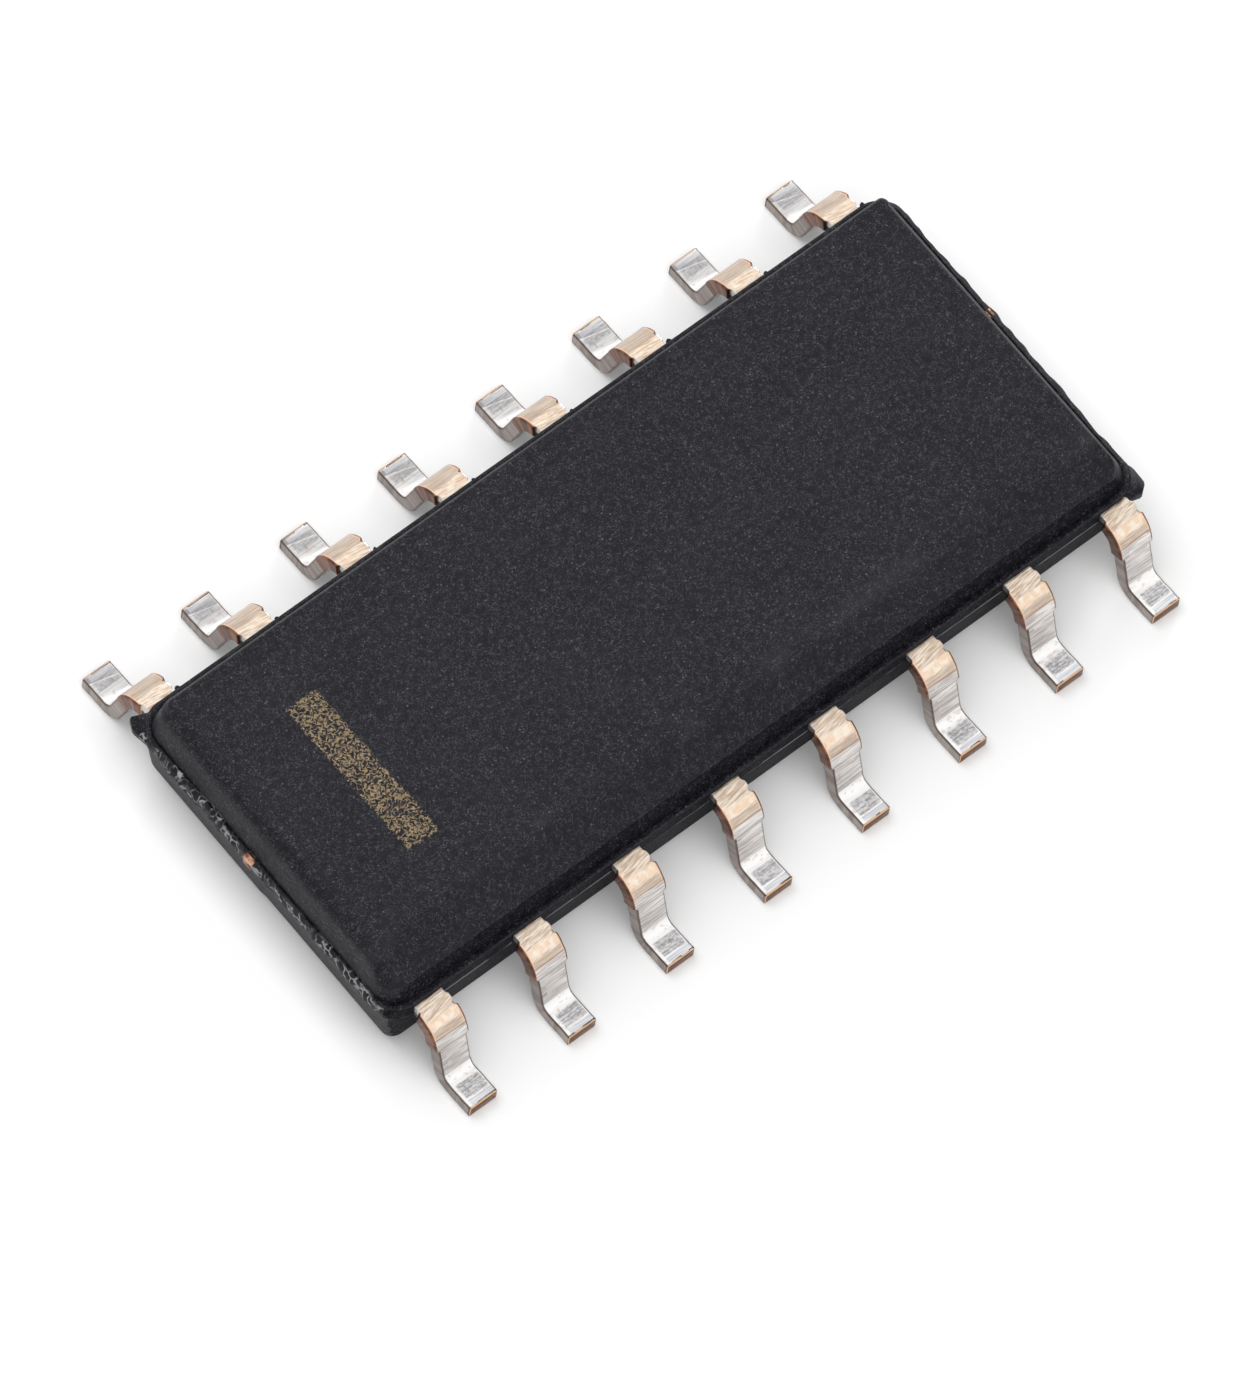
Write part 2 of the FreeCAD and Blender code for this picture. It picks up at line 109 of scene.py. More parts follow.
# Marks along a lead's strip, in millimetres from the body
NUB_FROM = (0.055, 0.07)
NUB_TO = (0.125, 0.14)
STUB_FROM = 0.075
STUB_FROM_BY_NUB = 0.165
STUB_RISE = 0.022
STUB_TO = (0.465, 0.495)
NECK = (0.13, 0.16)
HIGHLIGHT_BAND = (0.175, 0.262)
SEAM = (0.342, 0.352)
RISER_FROM = (0.350, 0.358)
JOG = (0.468, 0.482)
FOOT_FROM = (0.872, 0.880)
PATCH = (1.125, 1.305)
TOE_STRIP_FROM = (1.318, 1.326)
TOE_EDGE_FROM = (1.388, 1.396)

# Points along the body's sides, ends and corners, and rings up its walls, rims and flange
SIDE_STEPS = 60
END_STEPS = 150
CORNER_STEPS = 10
WALL_STEPS = 6
RIM_STEPS = 7
# Rim rings that carry the painted edge highlight.
RIM_HIGHLIGHT_LEVELS = (WALL_STEPS + 3, WALL_STEPS + 4)
FLANGE_SHARES = (0.08, 0.2, 0.35, 0.5, 0.65, 0.8, 0.92)
EJECTOR_STEPS = 48

# Camera, fitted to the photograph's leads and body edges, in millimetres, radians and pixels
CAMERA_AZIMUTH = math.radians(-49.269)
CAMERA_ELEVATION = math.radians(62.258)
CAMERA_ROLL = math.radians(10.297)
CAMERA_DISTANCE = 200.842
CAMERA_SHIFT = (0.048, 0.4285)
SENSOR = 36.0
FOCAL_PIXELS = 20241.1
PHOTO_HEIGHT = 1379

# Stage
FLOOR_REACH = 0.6
FLOOR_GREY = 0.80
FLOOR_GLOW = 0.12
ROOM_LIGHT = 0.14


# Material helpers

def add_node(tree, kind, inputs=None, **settings):
    """Add a shader node. Each input is a plain value or another node's output."""
    made = tree.nodes.new("ShaderNode" + kind)
    for key, value in settings.items():
        setattr(made, key, value)
    for key, value in (inputs or {}).items():
        if isinstance(value, bpy.types.NodeSocket):
            tree.links.new(value, made.inputs[key])
        else:
            made.inputs[key].default_value = value
    return made


def maths(tree, operation, first, second=0.0):
    return add_node(tree, "Math", {0: first, 1: second}, operation=operation).outputs[0]


def product(tree, *factors):
    made = factors[0]
    for factor in factors[1:]:
        made = maths(tree, "MULTIPLY", made, factor)
    return made


def ramp(tree, value, low, high, start=0.0, end=1.0):
    """Map value from low..high to start..end, with soft ends and nothing beyond them."""
    inputs = {"Value": value, "From Min": low, "From Max": high, "To Min": start, "To Max": end}
    return add_node(tree, "MapRange", inputs, interpolation_type="SMOOTHSTEP").outputs["Result"]


def within(tree, value, low, high, soft):
    """One from low to high and zero beyond, with soft ends."""
    return product(tree, ramp(tree, value, low - soft, low + soft),
                   ramp(tree, value, high - soft, high + soft, 1.0, 0.0))


def wobble(tree, field, size):
    """Shift of up to half the size either way, from a field that runs from 0 to 1."""
    return product(tree, maths(tree, "SUBTRACT", field, 0.5), size)


def axes(tree, vector):
    """The X, Y and Z of a vector."""
    return add_node(tree, "SeparateXYZ", {0: vector}).outputs


def attribute(tree, name, output):
    return add_node(tree, "Attribute", attribute_name=name).outputs[output]


def stretched(tree, vector, factors):
    return add_node(tree, "VectorMath", {0: vector, 1: factors}, operation="MULTIPLY").outputs[0]


def noise_at(tree, vector, scale, detail=2.0, roughness=0.5, distortion=0.0):
    inputs = {"Vector": vector, "Scale": scale, "Detail": detail,
              "Roughness": roughness, "Distortion": distortion}
    return add_node(tree, "TexNoise", inputs).outputs["Fac"]


def screen_colour(red, green, blue):
    """Linear colour of a screen colour counted from 0 to 255."""
    return tuple(value / 255 / 12.92 if value < 10.3 else ((value / 255 + 0.055) / 1.055) ** 2.4
                 for value in (red, green, blue))


def mix_colour(tree, factor, first, second):
    made = add_node(tree, "Mix", {"Factor": factor}, data_type="RGBA")
    for socket, value in ((made.inputs[6], first), (made.inputs[7], second)):
        if isinstance(value, bpy.types.NodeSocket):
            tree.links.new(value, socket)
        else:
            socket.default_value = (*value, 1.0)
    return made.outputs[2]


def painted(tree, base, mask, colour, share):
    """The base with a colour over that share of it where the mask is one."""
    return mix_colour(tree, product(tree, mask, share), base, colour)


def two_tone(tree, pattern, low, high, dark, light):
    """From one screen colour where the pattern is low to another where it is high."""
    return mix_colour(tree, ramp(tree, pattern, low, high),
                      screen_colour(*dark), screen_colour(*light))


def new_material(name, roughness, metallic=0.0, specular=0.5):
    material = bpy.data.materials.new(name)
    material.use_nodes = True
    shader = material.node_tree.nodes["Principled BSDF"]
    shader.inputs["Roughness"].default_value = roughness
    shader.inputs["Metallic"].default_value = metallic
    shader.inputs["Specular IOR Level"].default_value = specular
    return material, material.node_tree, shader


def place_in_mm(tree):
    """Place on the part in millimetres, the same for every piece."""
    place = add_node(tree, "TexCoord").outputs["Object"]
    return add_node(tree, "VectorMath", {0: place, "Scale": 1 / MM}, operation="SCALE").outputs[0]


def bump(tree, shader, height, depth_mm):
    made = add_node(tree, "Bump", {"Height": height, "Distance": depth_mm * MM})
    tree.links.new(made.outputs["Normal"], shader.inputs["Normal"])


def seen_ray(tree):
    """One for what the camera sees, directly or in the metal, and zero for light that bounces."""
    path = add_node(tree, "LightPath").outputs
    mirrored = maths(tree, "MAXIMUM", path["Is Glossy Ray"], path["Is Transmission Ray"])
    return maths(tree, "MAXIMUM", path["Is Camera Ray"], mirrored)


# Moulding compound

def mould_material(name, specular):
    """Charcoal with flecks, painted shade and highlights, some wear, the bar by pin 1, broken
    parting.
    """
    material, tree, shader = new_material(name, 0.50, specular=specular)
    place = place_in_mm(tree)
    parts = axes(tree, place)
    base = plain_compound(tree, place, parts)
    base = with_flecks(tree, place, base)
    base = with_painted_highlights(tree, place, parts, base)
    base = with_bar(tree, place, parts, base)
    base = with_broken_parting(tree, place, parts, base)
    tree.links.new(base, shader.inputs["Base Color"])
    grain = noise_at(tree, place, 34.0, 2.0, 0.6)
    waves = product(tree, noise_at(tree, place, 4.0, 2.0), 1.5)
    bump(tree, shader, maths(tree, "ADD", grain, waves), 0.005)
    return material


def plain_compound(tree, place, parts):
    """Slightly uneven charcoal, with painted shade on the left end's wall."""
    broad = noise_at(tree, place, 1.6, 3.0)
    base = mix_colour(tree, ramp(tree, broad, 0.35, 0.65),
                      (0.0072, 0.0068, 0.0096), (0.0096, 0.0091, 0.0124))
    # Painted shade: the colour darkens towards the left end of the body.
    square = maths(tree, "SUBTRACT", parts["X"], product(tree, parts["Y"], SKEW))
    return mix_colour(tree, ramp(tree, square, -4.80, -4.62, 0.7, 0.0), base,
                      (0.0024, 0.0024, 0.0044))


def with_flecks(tree, place, base):
    """Fine filler strokes in patches, small dark spots and a few bright grains."""
    patches = ramp(tree, noise_at(tree, place, 12.0, 3.0, 0.7), 0.34, 0.56)
    strokes = product(tree, short_strokes(tree, place, 34.0, 0.050), patches)
    dark = ramp(tree, noise_at(tree, place, 30.0, 1.0), 0.42, 0.32)
    base = painted(tree, base, strokes, (0.074, 0.074, 0.085), 0.9)
    base = painted(tree, base, dark, (0.004, 0.004, 0.006), 0.7)
    return mix_colour(tree, bright_dots(tree, place), base, (0.150, 0.150, 0.162))


def short_strokes(tree, place, scale, width):
    """Worm-like short strokes: the thin level lines of a noise."""
    field = noise_at(tree, place, scale, 1.0, 0.5, 0.6)
    off_line = maths(tree, "ABSOLUTE", maths(tree, "SUBTRACT", field, 0.5))
    return ramp(tree, off_line, 0.0, width, 1.0, 0.0)


def bright_dots(tree, place):
    """A few small bright filler grains."""
    cells = add_node(tree, "TexVoronoi", {"Vector": place, "Scale": 17.0}).outputs
    chance = add_node(tree, "SeparateColor", {0: cells["Color"]}).outputs[0]
    return product(tree, ramp(tree, cells["Distance"], 0.07, 0.20, 0.7, 0.0),
                   maths(tree, "GREATER_THAN", chance, 0.82))


def with_painted_highlights(tree, place, parts, base):
    """Painted highlights: uneven patches on the soft ridge, a thin line on the sharper edges."""
    # Painted highlight along the soft ridge, in uneven patches.
    rubbed = product(tree, within(tree, parts["Y"], RIDGE - 0.10, RIDGE + 0.08, 0.07),
                     ramp(tree, noise_at(tree, place, 1.7, 3.0), 0.46, 0.62, 0.02, 0.14))
    base = mix_colour(tree, rubbed, base, (0.085, 0.085, 0.092))
    # Painted highlight along the rims and the ledge's edges; pale wear on the right corner stub's
    # broken end.
    edges = attribute(tree, "edge_highlight_and_wear", "Fac")
    return painted(tree, base, edges, (0.105, 0.105, 0.110), 0.75)


def with_bar(tree, place, parts, base):
    """The speckled gold bar beside pin 1."""
    uneven = product(tree, noise_at(tree, place, 7.0, 3.0), 0.16)
    worms = maths(tree, "ADD", short_strokes(tree, place, 22.0, 0.12), uneven)
    maze = product(tree, ramp(tree, worms, 0.38, 0.62),
                   ramp(tree, noise_at(tree, place, 42.0, 1.0), 0.34, 0.45))
    gold = mix_colour(tree, ramp(tree, noise_at(tree, place, 22.0, 2.0), 0.38, 0.60),
                      (0.125, 0.092, 0.052), (0.320, 0.240, 0.142))
    return mix_colour(tree, product(tree, bar_mask(tree, place, parts), maze), base, gold)


def bar_mask(tree, place, parts):
    """One inside the bar beside pin 1, with ragged edges."""
    ragged = wobble(tree, noise_at(tree, place, 22.0, 2.0), 0.10)
    square = maths(tree, "SUBTRACT", parts["X"], product(tree, parts["Y"], SKEW / 2))
    across = within(tree, maths(tree, "ADD", square, ragged), *BAR_X, 0.008)
    along = within(tree, maths(tree, "ADD", parts["Y"], ragged), *BAR_Y, 0.008)
    return product(tree, across, along, maths(tree, "GREATER_THAN", parts["Z"], BODY_TOP - 0.1))


def with_broken_parting(tree, place, parts, base):
    """Broken flash with painted light: a thin line low on the sides, chips on the left end."""
    # Pale grey of the painted highlights on the broken flash.
    pale = (0.30, 0.30, 0.31)
    away = maths(tree, "ABSOLUTE", parts["Y"])
    broken = ramp(tree, noise_at(tree, stretched(tree, place, (3.0, 9.0, 9.0)), 1.0, 3.0),
                  0.42, 0.60, 0.10, 0.75)
    # Painted highlight along the broken parting line, stronger at the front.
    line = product(tree, maths(tree, "GREATER_THAN", away, 2.02),
                   within(tree, parts["Z"], *PARTING_Z, 0.006), broken,
                   ramp(tree, parts["Y"], -1.0, 1.0, 1.0, 0.4))
    base = mix_colour(tree, line, base, pale)

    shift = wobble(tree, noise_at(tree, place, 2.2, 2.0), 0.20)
    band = within(tree, maths(tree, "ADD", parts["Z"], shift), *CHIPS_Z, 0.02)
    at_end = product(tree, maths(tree, "LESS_THAN", parts["X"], -4.80),
                     maths(tree, "LESS_THAN", away, 1.90))
    band = product(tree, band, at_end)
    cracks = crack_distance(tree, place)
    # Painted shade in the holes between the chips.
    holes = product(tree, band, ramp(tree, cracks, 0.14, 0.24))
    # Painted highlights on the chips' rims.
    chips = product(tree, band, ramp(tree, cracks, 0.04, 0.12, 1.0, 0.0),
                    ramp(tree, noise_at(tree, place, 7.0, 2.0), 0.40, 0.58, 0.10, 1.0))
    base = painted(tree, base, holes, (0.005, 0.005, 0.006), 0.8)
    return mix_colour(tree, chips, base, pale)


def crack_distance(tree, place):
    """Distance to the nearest edge between uneven cells."""
    swirls = add_node(tree, "TexNoise", {"Vector": place, "Scale": 6.0}).outputs["Color"]
    shaken = stretched(tree, swirls, (0.2, 0.2, 0.2))
    bent = add_node(tree, "VectorMath", {0: place, 1: shaken}, operation="ADD").outputs[0]
    inputs = {"Vector": stretched(tree, bent, (1.0, 1.0, 0.8)), "Scale": 10.0}
    return add_node(tree, "TexVoronoi", inputs, feature="DISTANCE_TO_EDGE").outputs["Distance"]


# Metal

def lead_material():
    """Plated lead: coppery bend, silver riser, brushed foot, and brown where it was cut."""
    material, tree, shader = new_material("plated_lead", 0.30, metallic=0.9)
    lead = lead_patterns(tree)
    flat = mix_colour(tree, ramp(tree, lead.run, *RISER_FROM),
                      bent_part_colour(tree, lead), riser_colour(tree, lead))
    flat = painted(tree, flat, within(tree, lead.run, *SEAM, 0.005), screen_colour(132, 100, 84),
                   0.6)
    flat = mix_colour(tree, ramp(tree, lead.run, *FOOT_FROM), flat, foot_colour(tree, lead))
    flat = mix_colour(tree, lead.flank, flat, flank_colour(tree, lead))
    right_edge = product(tree, lead.flank, maths(tree, "GREATER_THAN", lead.side, 0.0),
                         ramp(tree, lead.along, 0.45, 0.55), ramp(tree, lead.level, 0.2, 0.7))
    flat = painted(tree, flat, right_edge, screen_colour(98, 76, 66), 0.9)
    flat = with_cuts(tree, lead, flat)
    tree.links.new(flat, shader.inputs["Base Color"])
    bump(tree, shader, maths(tree, "ADD", lead.brushed, lead.waves), 0.004)
    return material


def lead_patterns(tree):
    """Places on the strip in millimetres, and the noises that the lead's colours share."""
    strip = attribute(tree, "strip", "Vector")
    place, wear = axes(tree, strip), axes(tree, attribute(tree, "wear", "Vector"))
    waves = noise_at(tree, stretched(tree, strip, (2.2, 17.0, 3.0)), 1.0, 2.0, 0.5, 0.2)
    return SimpleNamespace(
        strip=strip, side=place["X"], along=place["Y"], number=place["Z"],
        cut=wear["X"], flank=wear["Y"], level=wear["Z"],
        brushed=noise_at(tree, stretched(tree, strip, (3.0, 58.0, 3.0)), 1.0, 3.0, 0.6),
        waves=waves,
        mottle=noise_at(tree, stretched(tree, strip, (14.0, 14.0, 3.0)), 1.0, 3.0),
        run=maths(tree, "ADD", place["Y"], wobble(tree, waves, 0.03)),
        behind=maths(tree, "LESS_THAN", place["Z"], 0.0))


def bent_part_colour(tree, lead):
    """Beige copper round the upper bend, with painted highlight and shade, orange ends and a copper
    outline.
    """
    slanted = add_node(tree, "VectorRotate", {"Vector": lead.strip, "Angle": 0.12},
                       rotation_type="Z_AXIS").outputs[0]
    scratches = noise_at(tree, stretched(tree, slanted, (6.0, 66.0, 3.0)), 1.0, 3.0, 0.6)
    colour = two_tone(tree, scratches, 0.32, 0.68, (192, 168, 146), (246, 232, 216))
    # The painted light sits nearer the body on the back row.
    lit = maths(tree, "ADD", lead.run, product(tree, lead.behind, 0.13))
    # On the back row the painted highlight breaks into streaks.
    streaks = ramp(tree, scratches, 0.40, 0.58, 0.35, 1.0)
    streaks = maths(tree, "MAXIMUM", streaks, maths(tree, "SUBTRACT", 1.0, lead.behind))
    # Painted highlight across the bend.
    band = product(tree, within(tree, lit, *HIGHLIGHT_BAND, 0.016), streaks)
    bright = two_tone(tree, lead.mottle, 0.40, 0.62, (246, 218, 190), (255, 242, 226))
    colour = painted(tree, colour, band, bright, 0.85)
    # Painted shade on the bend beyond the highlight.
    shaded_beige = two_tone(tree, lead.brushed, 0.35, 0.65, (182, 160, 142), (216, 198, 182))
    colour = painted(tree, colour, ramp(tree, lit, 0.268, 0.284), shaded_beige, 0.75)
    off_middle = maths(tree, "ABSOLUTE", lead.side)
    ends = product(tree, ramp(tree, off_middle, 0.12, 0.18), ramp(tree, lead.mottle, 0.50, 0.60),
                   within(tree, lead.run, 0.16, 0.28, 0.02))
    colour = painted(tree, colour, ends, screen_colour(224, 170, 128), 0.6)
    outline = ramp(tree, off_middle, 0.170, 0.180)
    return painted(tree, colour, outline, screen_colour(240, 204, 172), 0.6)


def riser_colour(tree, lead):
    """Silver riser with patches of painted highlight and a dark jog below the dambar's stubs."""
    riser = two_tone(tree, lead.brushed, 0.32, 0.68, (180, 172, 168), (236, 232, 229))
    # Painted highlights in patches on the riser.
    chips = product(tree, ramp(tree, lead.waves, 0.56, 0.60),
                    within(tree, lead.side, -0.10, 0.15, 0.01))
    riser = painted(tree, riser, chips, screen_colour(236, 231, 228), 0.8)
    jog = within(tree, lead.run, *JOG, 0.006)
    return painted(tree, riser, jog, screen_colour(138, 124, 118), 0.55)


def foot_colour(tree, lead):
    """White foot with a grey brushed patch, a pale strip before the toe and a copper edge."""
    white = two_tone(tree, lead.mottle, 0.36, 0.44, (236, 226, 222), (254, 253, 252))
    fine = noise_at(tree, stretched(tree, lead.strip, (26.0, 44.0, 3.0)), 1.0, 2.0)
    rubbed = product(tree, maths(tree, "ADD", lead.brushed, fine), 0.5)
    grey = two_tone(tree, rubbed, 0.38, 0.62, (160, 157, 158), (222, 221, 222))
    shorter = maths(tree, "SUBTRACT", lead.run, product(tree, lead.behind, 0.06))
    patch = product(tree, within(tree, shorter, *PATCH, 0.014),
                    within(tree, lead.side, -0.125, 0.150, 0.016))
    colour = with_back_row_painted_light(tree, lead, mix_colour(tree, patch, white, grey))
    pale = two_tone(tree, lead.brushed, 0.40, 0.60, (206, 208, 214), (234, 234, 238))
    toe = product(tree, ramp(tree, lead.run, *TOE_STRIP_FROM),
                  ramp(tree, lead.side, -0.135, -0.120),
                  maths(tree, "SUBTRACT", 1.0, product(tree, lead.behind, 0.5)))
    colour = mix_colour(tree, toe, colour, pale)
    colour = painted(tree, colour, small_scratch(tree, lead), screen_colour(110, 100, 98), 0.55)
    return mix_colour(tree, ramp(tree, lead.run, *TOE_EDGE_FROM), colour,
                      screen_colour(236, 204, 170))


def with_back_row_painted_light(tree, lead, colour):
    """Painted light on the back row's feet: darker overall, a band of shade and a thin highlight
    across.
    """
    slanting = maths(tree, "ADD", lead.run, product(tree, lead.side, 0.25))
    # Painted darkening of the back row's feet.
    painted_darkening = product(tree, lead.behind, within(tree, slanting, 1.09, 1.40, 0.04),
                   ramp(tree, lead.brushed, 0.25, 0.75, 0.75, 0.35))
    colour = mix_colour(tree, painted_darkening, colour, screen_colour(170, 167, 167))
    shade = product(tree, lead.behind, within(tree, slanting, 1.285, 1.350, 0.010),
                    ramp(tree, lead.side, -0.16, 0.12, 0.8, 0.1))
    colour = mix_colour(tree, shade, colour, screen_colour(140, 138, 142))
    # Painted highlight across the back row's feet.
    shine = product(tree, lead.behind, within(tree, slanting, 1.266, 1.276, 0.007),
                    ramp(tree, lead.brushed, 0.3, 0.6, 0.4, 0.8))
    return mix_colour(tree, shine, colour, screen_colour(244, 242, 240))


def small_scratch(tree, lead):
    """One on a small scratch that lies a little differently on each foot."""
    chance = add_node(tree, "TexWhiteNoise", {"W": lead.number}, noise_dimensions="1D")
    chance = chance.outputs["Value"]
    along = maths(tree, "ADD", lead.run, wobble(tree, chance, 0.06))
    across = maths(tree, "ADD", lead.side, wobble(tree, chance, 0.16))
    return product(tree, within(tree, along, 1.165, 1.215, 0.006),
                   within(tree, across, -0.020, -0.008, 0.005))


def flank_colour(tree, lead):
    """Sides of the strip: silver beside the body with painted shade low down, then grey-brown
    plating with darker edges.
    """
    colour = two_tone(tree, lead.mottle, 0.35, 0.65, (128, 116, 110), (160, 150, 144))
    edge = ramp(tree, maths(tree, "ABSOLUTE", lead.level), 0.62, 0.92)
    colour = painted(tree, colour, edge, screen_colour(82, 66, 58), 0.75)
    # Painted shade on the lower part of each side beside the body, pale silver above.
    pale = two_tone(tree, lead.level, -0.25, 0.10, (72, 66, 68), (214, 208, 204))
    return mix_colour(tree, ramp(tree, lead.along, *NECK, 1.0, 0.0), colour, pale)


def with_cuts(tree, lead, colour):
    """Brown sheared faces with a coppery rim, at the dambar's stubs and at the toe."""
    at_toe = maths(tree, "GREATER_THAN", lead.along, 1.0)
    sheared = two_tone(tree, lead.mottle, 0.38, 0.62, (92, 62, 50), (138, 96, 76))
    sheared = mix_colour(tree, at_toe, sheared, screen_colour(110, 74, 56))
    rim = mix_colour(tree, at_toe, screen_colour(188, 142, 112), screen_colour(226, 186, 148))
    colour = mix_colour(tree, ramp(tree, lead.cut, 0.14, 0.30), colour, rim)
    return mix_colour(tree, ramp(tree, lead.cut, 0.36, 0.60), colour, sheared)


def copper_material():
    """Bare sheared copper of the tie-bar ends."""
    material, tree, shader = new_material("sheared_copper", 0.42, metallic=0.8)
    place = place_in_mm(tree)
    base = two_tone(tree, noise_at(tree, place, 14.0, 3.0), 0.35, 0.65,
                    (132, 90, 70), (220, 172, 142))
    tree.links.new(base, shader.inputs["Base Color"])
    bump(tree, shader, noise_at(tree, place, 24.0, 2.0), 0.006)
    return material


# Pieces

def new_piece(name, mesh, material):
    piece = bpy.data.objects.new(name, mesh)
    bpy.context.scene.collection.objects.link(piece)
    piece.data.materials.clear()
    piece.data.materials.append(material)
    return piece


def smooth_piece(name, shape, material):
    """A smooth-shaded piece from a finished bmesh, which is freed."""
    mesh = bpy.data.meshes.new(name)
    shape.to_mesh(mesh)
    shape.free()
    mesh.shade_smooth()
    return new_piece(name, mesh, material)


def ramp_number(value, low, high):
    return min(1.0, max(0.0, (value - low) / (high - low)))


def rounded_outline(half_x, half_y, radius):
    """Points (x, y, outward x, outward y) round a rounded rectangle, from the front's left."""
    points = []
    for quarter, steps in enumerate((SIDE_STEPS, END_STEPS, SIDE_STEPS, END_STEPS)):
        facing = math.pi / 2 * (quarter - 1)
        out = Vector((round(math.cos(facing)), round(math.sin(facing))))
        ahead = Vector((-out.y, out.x))
        reach = half_x if out.x else half_y
        run = (half_y if out.x else half_x) - radius
        for step in range(steps):
            place = out * reach + ahead * run * (2 * step / steps - 1)
            points.append((*place, *out))
        centre = out * (reach - radius) + ahead * run
        for step in range(CORNER_STEPS):
            angle = facing + math.pi / 2 * step / CORNER_STEPS
            towards = Vector((math.cos(angle), math.sin(angle)))
            points.append((*(centre + towards * radius), *towards))
    return points


def top_height(y):
    """Height of the top face, of the bevel, or of the soft ridge between them."""
    blend = RIDGE_RADIUS * math.tan(BEVEL_SLOPE / 2)
    if y >= RIDGE + blend:
        return BODY_TOP
    if y <= RIDGE - blend * math.cos(BEVEL_SLOPE):
        return BODY_TOP + (y - RIDGE) * math.tan(BEVEL_SLOPE)
    return BODY_TOP - RIDGE_RADIUS + math.sqrt(RIDGE_RADIUS ** 2 - (y - RIDGE - blend) ** 2)


def curve_point(start, corner, end, share):
    """Point on the soft curve that leaves start towards the corner and meets end."""
    return start.lerp(corner, share).lerp(corner.lerp(end, share), share)


def wall_and_rim(foot, start, corner, end):
    """Straight wall from its foot to start, then a soft curve round the corner to end."""
    wall = [foot.lerp(start, step / WALL_STEPS) for step in range(WALL_STEPS)]
    return wall + [curve_point(start, corner, end, step / RIM_STEPS)
                   for step in range(RIM_STEPS + 1)]


def upper_profile(y, out_x, out_y):
    """Upper wall and rim over one point of its foot, as (inset, height) up to the top face."""
    draft = (RIGHT_DRAFT if out_x > 0 else LEFT_DRAFT) * out_x ** 2 + SIDE_DRAFT * out_y ** 2
    rise = Vector((math.sin(draft), math.cos(draft)))
    # The inset at the rim hangs on the height there, so a few rounds settle it
    inset = 0.07
    for _ in range(6):
        inset = (top_height(y - out_y * inset) - LEDGE) * math.tan(draft)
    corner = Vector((inset, top_height(y - out_y * inset)))
    ahead = 0.05
    level = Vector((ahead, top_height(y - out_y * (inset + ahead)) - corner.y)).normalized()
    softness = TOP_RIM + LEFT_RIM_EXTRA * max(0.0, -out_x) ** 3
    start, end = corner - rise * softness, corner + level * softness
    profile = wall_and_rim(Vector((0.0, LEDGE - WALL_SINK)), start, corner, end)
    return profile + [end + level * RIM_LIP]


def end_wave(y, z, side):
    """How far the broken flash stands out from an end of the flange, in millimetres."""
    mean, fine_size = (0.036, 0.016) if side < 0 else (0.075, 0.004)
    slow = noise.noise(Vector((y * 1.3, side * 7.3, z * 0.8)))
    fast = noise.noise(Vector((y * 7.0, side * 3.1, z * 5.0)))
    fine = noise.noise(Vector((y * 19.0, side * 9.1, z * 19.0)))
    return mean + 0.034 * slow + 0.022 * fast + fine_size * fine


def left_step(y, out_x):
    """How far the lower half's left end stands out: below zero, a little less at the back."""
    return max(0.0, -out_x) ** 6 * (0.012 * ramp_number(y, 0.02, 0.10) - 0.025)


def lower_rings(outer):
    """Rings of (x, y, z, painted edge highlight) from the bottom rim up to the flange."""
    drop = FLANGE_BOTTOM - BODY_BOTTOM
    fall = Vector((math.tan(LOWER_DRAFT), -1.0)).normalized()
    corner = Vector((drop * math.tan(LOWER_DRAFT), BODY_BOTTOM))
    start, end = corner - fall * BOTTOM_RIM, corner + Vector((BOTTOM_RIM, 0.0))
    profile = wall_and_rim(Vector((0.0, FLANGE_BOTTOM)), start, corner, end)
    return [[(x - out_x * (inset - left_step(y, out_x)), y - out_y * inset, z, 0.0)
             for x, y, out_x, out_y in outer] for inset, z in reversed(profile)]


def flange_rings(outer):
    """Rings up the parting flange, whose ends carry broken flash."""
    rings = []
    for share in FLANGE_SHARES:
        z = FLANGE_BOTTOM + (LEDGE - FLANGE_BOTTOM) * share
        bulge = math.sin(math.pi * share) ** 0.5
        ring = []
        for x, y, out_x, out_y in outer:
            reach = max(-0.03, end_wave(y, z, out_x)) * abs(out_x) ** 4 * bulge
            ring.append((x + out_x * reach, y + out_y * reach, z, 0.0))
        rings.append(ring)
    return rings


def ledge_rings(outer, inner):
    """Rings over the flange's ledge: painted highlight on its long edges, groove by the wall."""
    rings = []
    # The outer ring carries a painted highlight along the long sides.
    for share, dip, wear in ((0.0, 0.0, 0.3), (0.45, 0.0, 0.0), (0.8, LEDGE_GROOVE, 0.0)):
        rings.append([(a[0] + (b[0] - a[0]) * share, a[1] + (b[1] - a[1]) * share, LEDGE - dip,
                       wear * abs(a[3])) for a, b in zip(outer, inner)])
    return rings


def upper_rings(inner):
    """Rings up the upper wall and rim; painted rim highlight at the right end, weaker behind."""
    profiles = [upper_profile(y, out_x, out_y) for _, y, out_x, out_y in inner]
    rings = []
    for level in range(len(profiles[0])):
        on_rim = level in RIM_HIGHLIGHT_LEVELS
        ring = []
        for (x, y, out_x, out_y), profile in zip(inner, profiles):
            inset, z = profile[level]
            # Painted highlight on the rim, full at the right end and weaker along the back.
            wear = max(0.0, out_x, 0.6 * out_y) * on_rim
            ring.append((x - out_x * inset, y - out_y * inset, z, wear))
        rings.append(ring)
    return rings


